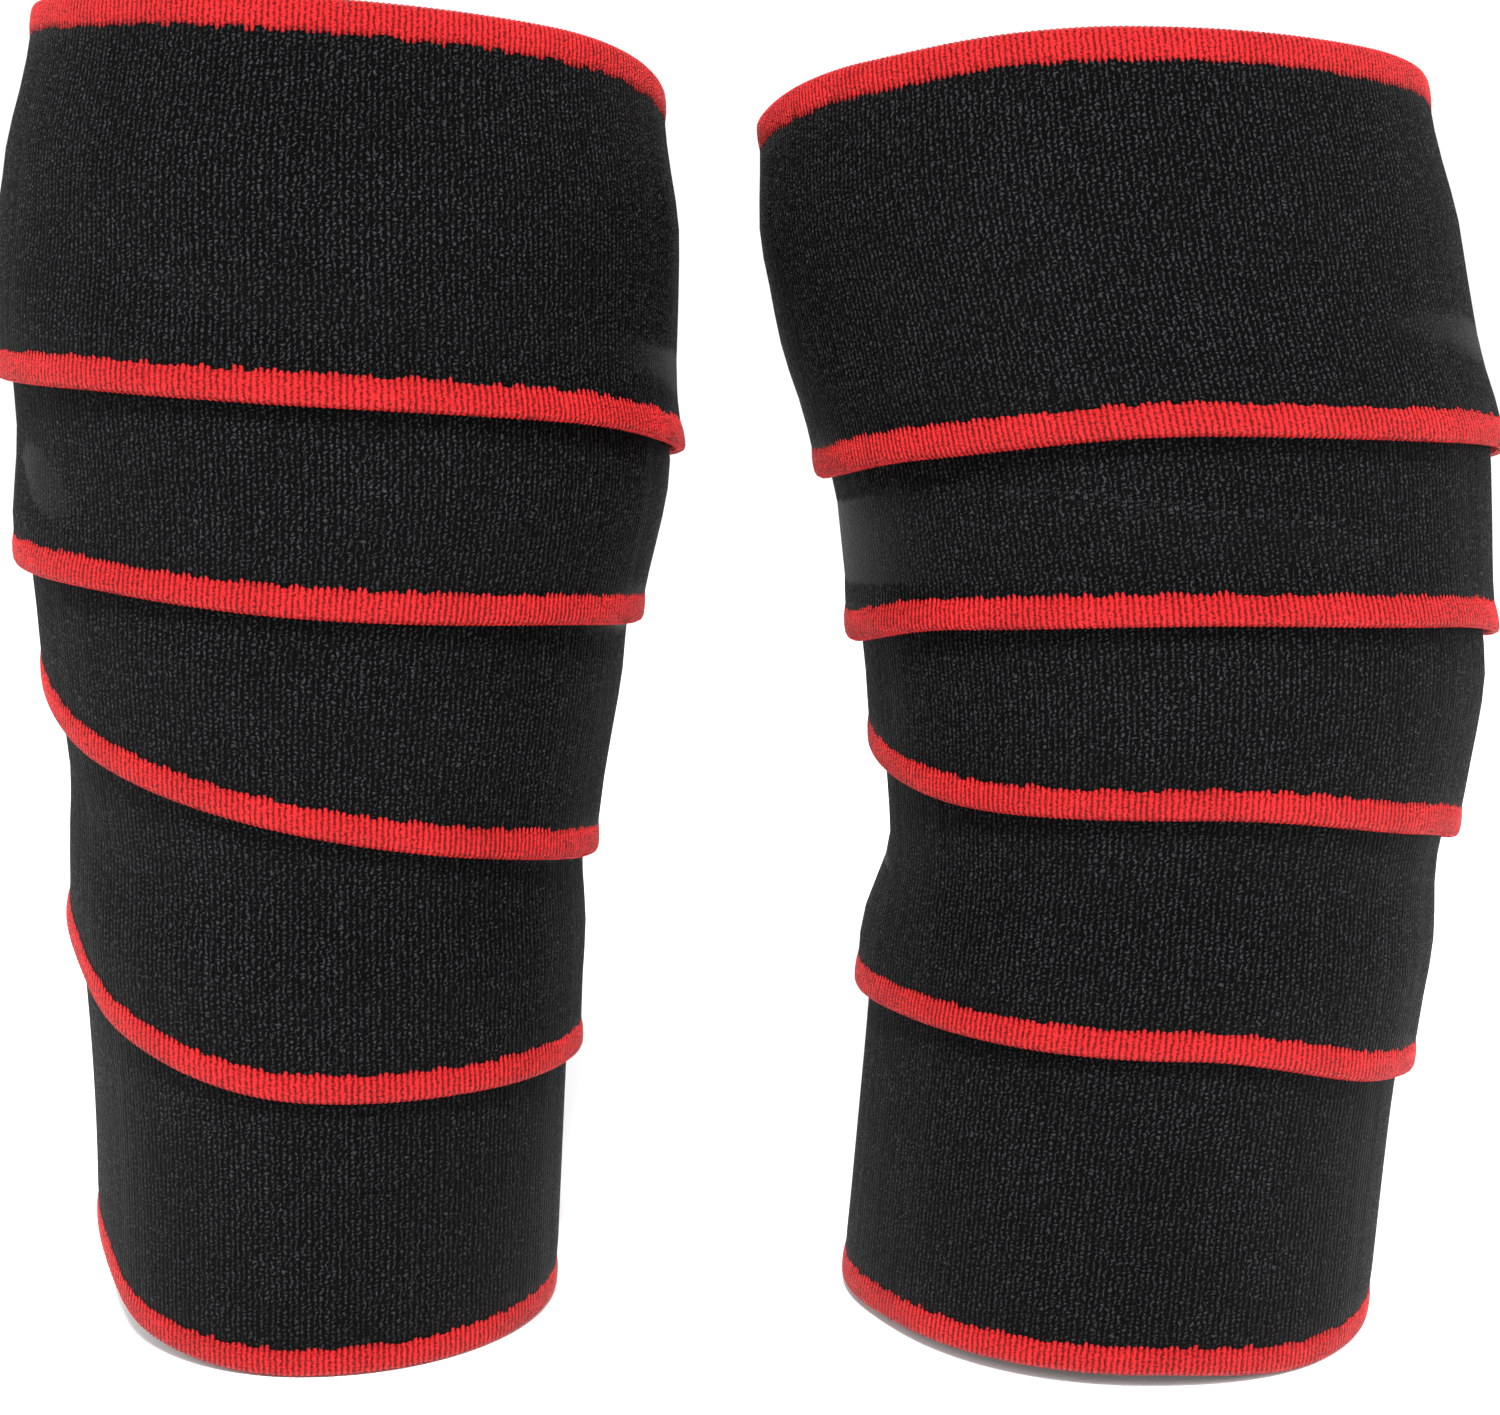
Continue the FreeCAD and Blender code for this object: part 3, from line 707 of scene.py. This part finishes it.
def knit_group():
    """Knitted loops: ribs a pitch apart that wander, each a twisted column of loops, and fine fuzz."""
    group, entry, leave = node_group(
        "knitted_loops",
        (("Coordinates", "NodeSocketVector", None), ("Rib Pitch", "NodeSocketFloat", RIB_PITCH),
         ("Loop Pitch", "NodeSocketFloat", 1.1), ("Wander", "NodeSocketFloat", 0.45),
         ("Twist", "NodeSocketFloat", 0.55), ("Fuzz", "NodeSocketFloat", 2.2),
         ("Dark Below", "NodeSocketFloat", 0.25), ("Light Above", "NodeSocketFloat", 1.05)),
        (("Height", "NodeSocketFloat"), ("Shade", "NodeSocketFloat"), ("Broad", "NodeSocketFloat")))
    graph = Graph(group)
    place = entry.outputs["Coordinates"]
    split = graph.node("ShaderNodeSeparateXYZ", Vector=place)
    slow = graph.node("ShaderNodeTexNoise", Vector=place, Scale=0.55, Detail=2.0, Roughness=0.6)
    drift = graph.node("ShaderNodeSeparateColor", Color=slow.outputs["Color"])
    sideways = graph.math("MULTIPLY", graph.math("SUBTRACT", drift.outputs[0], 0.5), entry.outputs["Wander"])
    along = graph.math("ADD", split.outputs["X"], graph.math("MULTIPLY", sideways, 4.0))
    ribs = graph.math("DIVIDE", along, entry.outputs["Rib Pitch"])
    number = graph.math("ROUND", ribs)
    own = graph.node("ShaderNodeTexWhiteNoise", {"noise_dimensions": "1D"}, W=number)
    column = graph.math("COSINE", graph.math("MULTIPLY", ribs, math.tau))
    column = graph.math("MULTIPLY_ADD", column, 0.5, 0.5)
    loops = graph.math("DIVIDE", split.outputs["Y"], entry.outputs["Loop Pitch"])
    loops = graph.math("ADD", loops, graph.math("MULTIPLY", own.outputs["Value"], 7.0))
    loops = graph.math("ADD", loops, graph.math("MULTIPLY", drift.outputs[1], 3.0))
    lean = graph.math("SINE", graph.math("MULTIPLY", ribs, math.tau))
    wave = graph.math("SINE", graph.math("ADD", graph.math("MULTIPLY", loops, math.tau), lean))
    wave = graph.math("MULTIPLY_ADD", wave, 0.5, 0.5)
    keep = graph.math("SUBTRACT", 1.0, entry.outputs["Twist"])
    twist = graph.math("MULTIPLY_ADD", wave, entry.outputs["Twist"], keep)
    fuzz = graph.node("ShaderNodeTexNoise", Vector=place, Scale=1.7, Detail=4.0, Roughness=0.7)
    rough = graph.math("MULTIPLY", graph.math("SUBTRACT", fuzz.outputs["Fac"], 0.5), entry.outputs["Fuzz"])
    height = graph.math("ADD", graph.math("MULTIPLY", column, twist), rough)
    wide = graph.node("ShaderNodeTexNoise", Vector=place, Scale=0.06, Detail=3.0)
    links = group.links
    links.new(height, leave.inputs["Height"])
    # Shade: 0 gives the painted shade of the low grooves, 1 the painted highlight of the raised loop tops;
    # Dark Below and Light Above set the heights where each is full
    shade = graph.node("ShaderNodeMapRange", {"interpolation_type": "SMOOTHSTEP"}, Value=height)
    links.new(entry.outputs["Dark Below"], shade.inputs["From Min"])
    links.new(entry.outputs["Light Above"], shade.inputs["From Max"])
    links.new(shade.outputs["Result"], leave.inputs["Shade"])
    links.new(wide.outputs["Fac"], leave.inputs["Broad"])
    return group


def cloth_material(name, dark, light, pitches, relief, roughness, sheen=0.0, gloss=0.05):
    """Yarn material: loops give the height, a painted shade in the grooves and a painted highlight on the
    loop tops, and a broad uneven tone.
    """
    group = bpy.data.node_groups.get("knitted_loops") or knit_group()
    material = bpy.data.materials.new(name)
    material.use_nodes = True
    tree = material.node_tree
    tree.nodes.clear()
    graph = Graph(tree)
    cloth = graph.node("ShaderNodeUVMap", {"uv_map": "cloth"})
    loops = graph.node("ShaderNodeGroup", {"node_tree": group}, Coordinates=cloth.outputs["UV"])
    for label, value in pitches.items():
        loops.inputs[label].default_value = value
    # painted shade (dark) in the grooves mixed towards the painted highlight (light) on the raised yarn, by
    # the loops' Shade
    tone = graph.node("ShaderNodeMix", {"data_type": "RGBA"})
    tree.links.new(loops.outputs["Shade"], tone.inputs["Factor"])
    tone.inputs["A"].default_value = (*dark, 1.0)
    tone.inputs["B"].default_value = (*light, 1.0)
    uneven = graph.node("ShaderNodeMix", {"data_type": "RGBA", "blend_type": "MULTIPLY"})
    spread = graph.node("ShaderNodeMapRange", Value=loops.outputs["Broad"])
    spread.inputs["To Min"].default_value = 0.6
    spread.inputs["To Max"].default_value = 1.4
    uneven.inputs["Factor"].default_value = 1.0
    tree.links.new(tone.outputs["Result"], uneven.inputs["A"])
    tree.links.new(spread.outputs["Result"], uneven.inputs["B"])
    bump = graph.node("ShaderNodeBump", Height=loops.outputs["Height"], Strength=1.0, Distance=relief)
    shader = graph.node("ShaderNodeBsdfPrincipled", Normal=bump.outputs["Normal"], Roughness=roughness)
    tree.links.new(uneven.outputs["Result"], shader.inputs["Base Color"])
    shader.inputs["Sheen Weight"].default_value = sheen
    shader.inputs["Sheen Roughness"].default_value = 0.5
    shader.inputs["Specular IOR Level"].default_value = gloss
    finish = graph.node("ShaderNodeOutputMaterial")
    tree.links.new(shader.outputs["BSDF"], finish.inputs["Surface"])
    return material


# slot: colour (its painted shade for the grooves and its painted highlight for the raised yarn), values of
# the loops, bump height and roughness, then sheen and gloss where they aren't usual
YARNS = {
    "outer_knit": (
        "knit", {"Rib Pitch": RIB_PITCH, "Loop Pitch": 1.1, "Wander": 0.55, "Twist": 0.7, "Fuzz": 3.2,
                 "Dark Below": 0.30, "Light Above": 1.25}, 0.9 * MM, 0.45),
    "inner_knit": (
        "knit", {"Rib Pitch": RIB_PITCH, "Loop Pitch": 0.8, "Wander": 0.15, "Twist": 0.3}, 0.4 * MM, 0.7),
    "red_selvedge": (
        "edge", {"Rib Pitch": RIB_PITCH, "Loop Pitch": 0.75, "Wander": 0.25, "Twist": 0.6, "Fuzz": 2.4,
                 "Dark Below": -0.15, "Light Above": 0.75}, 0.8 * MM, 0.42, 0.0, 0.16),
    "black_binding": (
        "knit", {"Rib Pitch": 0.7, "Loop Pitch": 0.5, "Wander": 0.05, "Twist": 0.5}, 0.12 * MM, 0.5, 0.05),
    "sewing_thread": (
        "knit", {"Rib Pitch": 0.35, "Loop Pitch": 1.2, "Wander": 0.0, "Twist": 0.6, "Fuzz": 0.5},
        0.05 * MM, 0.5),
    "hook_tape": (
        "knit", {"Rib Pitch": 0.8, "Loop Pitch": 0.6, "Wander": 0.05, "Twist": 0.4}, 0.06 * MM, 0.35),
    "loop_tape": (
        "knit", {"Rib Pitch": 0.9, "Loop Pitch": 0.9, "Wander": 1.6, "Twist": 0.7}, 0.5 * MM, 0.9, 0.2),
    "rubber_thread": (
        "rubber", {"Rib Pitch": RIB_PITCH, "Loop Pitch": 0.4, "Wander": 0.0, "Twist": 0.6}, 0.05 * MM, 0.7),
}


def get_material(slot):
    """The visible material of a slot, made on first use; the frame's own plain one has the slot's name."""
    label = f"{slot}_yarn"
    if label not in bpy.data.materials:
        colour, pitches, *finish = YARNS[slot]
        colours = bpy.context.scene.wrap_colours
        # the slot's painted shade colour for the grooves and its painted highlight colour for the raised yarn
        cloth_material(label, getattr(colours, colour), getattr(colours, f"{colour}_light"), pitches, *finish)
    return bpy.data.materials[label]


# ------------------------------------------------------------------ assembly helpers
def strips(context):
    """The wound strips of both wraps, by the scene's sizes."""
    return [Strip(side, context.scene.wrap_sizes) for side in SIDES]


def bend(piece):
    """Bake a short piece of strip's placement into its mesh."""
    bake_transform(piece)


# name of a visible stretch of strip, its ends, and the part of the CAD strip that it stands for
SEGMENTS = (
    ("strip", 0.0, ROOT_TURN, "strip"),
    ("root", ROOT_TURN, TIP_TURN, "tail"),
    ("tip", TIP_TURN, END_TURN, "tab"),
)


def place_segment(piece, strip, part, node):
    """Hide the CAD node that a piece stands for; the main stretch rides on its wrap's body, while a root or
    tip piece has its placement baked into its mesh.
    """
    side = strip.side
    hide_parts(f"{side}_{node}")
    if part == "root":
        bend(piece)
    elif part == "tip":
        bend(piece)
    else:
        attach(piece, f"{side}_wrap")


def place_part(piece, body, node):
    """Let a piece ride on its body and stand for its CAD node."""
    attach(piece, body)
    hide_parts(node)


def declare_cloth(strip, begin, end):
    """Work out a cloth piece's worn length without the stretch, which is not kept."""
    length = float(strip.length_at(end) - strip.length_at(begin)) / STRETCH


# ------------------------------------------------------------------ operators
class KNEEWRAP_OT_knit(bpy.types.Operator):
    """Build the knitted plies of both wraps"""

    bl_idname = "kneewrap.knit"
    bl_label = "Knitted Plies"

    def execute(self, context):
        """Outer and inner ply of every stretch of both strips."""
        for strip in strips(context):
            for part, begin, end, node in SEGMENTS:
                for ply, build in (("outer_knit", outer_knit), ("inner_knit", inner_knit)):
                    piece = build(f"{strip.side}_{part}_{ply}_cloth", strip, begin, end, get_material(ply))
                    place_segment(piece, strip, part, f"{node}_{ply}")
                    declare_cloth(strip, begin, end)
        return {"FINISHED"}


class KNEEWRAP_OT_selvedges(bpy.types.Operator):
    """Build the ribbed red edges of both wraps"""

    bl_idname = "kneewrap.selvedges"
    bl_label = "Selvedges"

    def execute(self, context):
        """Lower and upper selvedge of every stretch of both strips."""
        for strip in strips(context):
            for part, begin, end, node in SEGMENTS:
                for edge, upper in (("lower", False), ("upper", True)):
                    name = f"{strip.side}_{part}_{edge}_edge"
                    piece = selvedge(name, strip, begin, end, upper, get_material("red_selvedge"))
                    place_segment(piece, strip, part, f"{node}_{edge}_selvedge")
        return {"FINISHED"}


class KNEEWRAP_OT_rubber(bpy.types.Operator):
    """Build the rubber threads between the plies"""

    bl_idname = "kneewrap.rubber"
    bl_label = "Rubber Threads"

    def execute(self, context):
        """Threads of every stretch of both strips."""
        material = get_material("rubber_thread")
        for strip in strips(context):
            for part, begin, end, node in SEGMENTS:
                piece = rubber_threads(f"{strip.side}_{part}_threads", strip, begin, end, material)
                place_segment(piece, strip, part, f"{node}_rubber_threads")
        return {"FINISHED"}


class KNEEWRAP_OT_bindings(bpy.types.Operator):
    """Build the tape folded over each strip end, with its seam"""

    bl_idname = "kneewrap.bindings"
    bl_label = "End Bindings"

    def execute(self, context):
        """A binding and a seam at the start and at the far end of both strips."""
        ends = (("start", 0.0, 1.0, "wrap"), ("tab_end", END_TURN, -1.0, "tab"))
        for strip in strips(context):
            for end, turn, direction, part in ends:
                body, node = f"{strip.side}_{part}", f"{strip.side}_{end}_binding"
                tape = end_binding(f"{node}_tape", strip, turn, direction, get_material("black_binding"))
                place_part(tape, body, node)
                seam = seam_stitches(f"{node}_seam", strip, turn, direction, get_material("sewing_thread"))
                place_part(seam, body, f"{node}_stitches")
        return {"FINISHED"}


class KNEEWRAP_OT_patches(bpy.types.Operator):
    """Build the hook and loop patches, with their stitches"""

    bl_idname = "kneewrap.patches"
    bl_label = "Hook and Loop"

    def execute(self, context):
        """Hooks under the tab, loops on the turn beneath and the stitches that hold the hooks."""
        for strip in strips(context):
            side = strip.side
            hooks = hook_patch(f"{side}_hooks", strip, get_material("hook_tape"))
            place_part(hooks, f"{side}_tab", f"{side}_hook_patch")
            seam = patch_stitches(f"{side}_hook_seam", strip, get_material("sewing_thread"))
            place_part(seam, f"{side}_tab", f"{side}_hook_patch_stitches")
            loops = loop_patch(f"{side}_loops", strip, get_material("loop_tape"))
            place_part(loops, f"{side}_wrap", f"{side}_loop_patch")
        return {"FINISHED"}


class KNEEWRAP_OT_stage(bpy.types.Operator):
    """Set up the floor, the lights and the camera"""

    bl_idname = "kneewrap.stage"
    bl_label = "Stage"

    def execute(self, context):
        """A pale floor, soft lights at both sides and a camera in front of the pair."""
        colours = context.scene.wrap_colours
        make_floor(colours.stage)
        make_world()
        for light in LIGHTS:
            make_light(*light)
        make_camera(context.scene)
        context.scene.view_settings.view_transform = "Standard"
        return {"FINISHED"}


def make_floor(colour):
    """A large square floor under the pair."""
    mesh = bpy.data.meshes.new("floor")
    signs = ((-1.0, -1.0), (1.0, -1.0), (1.0, 1.0), (-1.0, 1.0))
    mesh.from_pydata([(FLOOR_REACH * x, FLOOR_REACH * y, 0.0) for x, y in signs], [], [(0, 1, 2, 3)])
    floor = bpy.data.objects.new("floor", mesh)
    bpy.context.scene.collection.objects.link(floor)
    material = bpy.data.materials.new("floor")
    material.use_nodes = True
    shader = material.node_tree.nodes["Principled BSDF"]
    shader.inputs["Base Color"].default_value = (*colour, 1.0)
    shader.inputs["Roughness"].default_value = 0.9
    mesh.materials.append(material)


def make_world():
    """Even white surroundings."""
    world = bpy.data.worlds.new("studio")
    world.use_nodes = True
    background = world.node_tree.nodes["Background"]
    background.inputs["Color"].default_value = (1.0, 1.0, 1.0, 1.0)
    background.inputs["Strength"].default_value = WORLD_STRENGTH
    bpy.context.scene.world = world


def make_light(name, place, aim, width, height, power):
    """A soft rectangular light aimed at a point, by the point's azimuth and its height above the level."""
    data = bpy.data.lights.new(name, "AREA")
    data.shape = "RECTANGLE"
    data.size, data.size_y = width, height
    data.energy = power
    light = bpy.data.objects.new(name, data)
    light.location = place
    direction = np.array(aim) - np.array(place)
    light.rotation_mode = "XYZ"
    turn = math.atan2(direction[1], direction[0]) - math.pi / 2.0
    tilt = math.atan2(direction[2], math.hypot(direction[0], direction[1])) + math.pi / 2.0
    light.rotation_euler = (tilt, 0.0, turn)
    bpy.context.scene.collection.objects.link(light)


def make_camera(scene):
    """A camera level with the knees, a little above them and tilted down."""
    data = bpy.data.cameras.new("camera")
    data.sensor_width = CAMERA_SENSOR
    data.lens = CAMERA_LENS
    data.clip_start = 0.01
    camera = bpy.data.objects.new("camera", data)
    camera.location = (0.0, AXIS_DEPTH - CAMERA_DISTANCE, CAMERA_HEIGHT)
    camera.rotation_euler = (math.radians(90.0 - CAMERA_TILT), 0.0, 0.0)
    scene.collection.objects.link(camera)
    scene.camera = camera


class KNEEWRAP_PT_panel(bpy.types.Panel):
    """Lists the sizes, the colours and the pieces"""

    bl_idname = "KNEEWRAP_PT_panel"
    bl_label = "Knee Wraps"
    bl_space_type = "VIEW_3D"
    bl_region_type = "UI"
    bl_category = "Knee Wraps"

    def draw(self, context):
        """Sizes and colours, then one button for each operator."""
        for group in (context.scene.wrap_sizes, context.scene.wrap_colours):
            box = self.layout.box()
            for label in group.__annotations__:
                box.prop(group, label)
        for operator in OPERATORS:
            self.layout.operator(operator.bl_idname)


OPERATORS = (KNEEWRAP_OT_stage, KNEEWRAP_OT_knit, KNEEWRAP_OT_selvedges, KNEEWRAP_OT_rubber,
             KNEEWRAP_OT_bindings, KNEEWRAP_OT_patches)
CLASSES = (WrapSizes, WrapColours, *OPERATORS, KNEEWRAP_PT_panel)


def register():
    """Register the classes and give the scene its sizes and colours."""
    for item in CLASSES:
        bpy.utils.register_class(item)
    bpy.types.Scene.wrap_sizes = bpy.props.PointerProperty(type=WrapSizes)
    bpy.types.Scene.wrap_colours = bpy.props.PointerProperty(type=WrapColours)


def unregister():
    """Take the sizes, the colours and the classes away again."""
    del bpy.types.Scene.wrap_colours
    del bpy.types.Scene.wrap_sizes
    for item in reversed(CLASSES):
        bpy.utils.unregister_class(item)


def main():
    """Register the add-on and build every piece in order."""
    register()
    bpy.ops.kneewrap.stage()
    bpy.ops.kneewrap.knit()
    bpy.ops.kneewrap.selvedges()
    bpy.ops.kneewrap.rubber()
    bpy.ops.kneewrap.bindings()
    bpy.ops.kneewrap.patches()


if __name__ == "__main__":
    main()
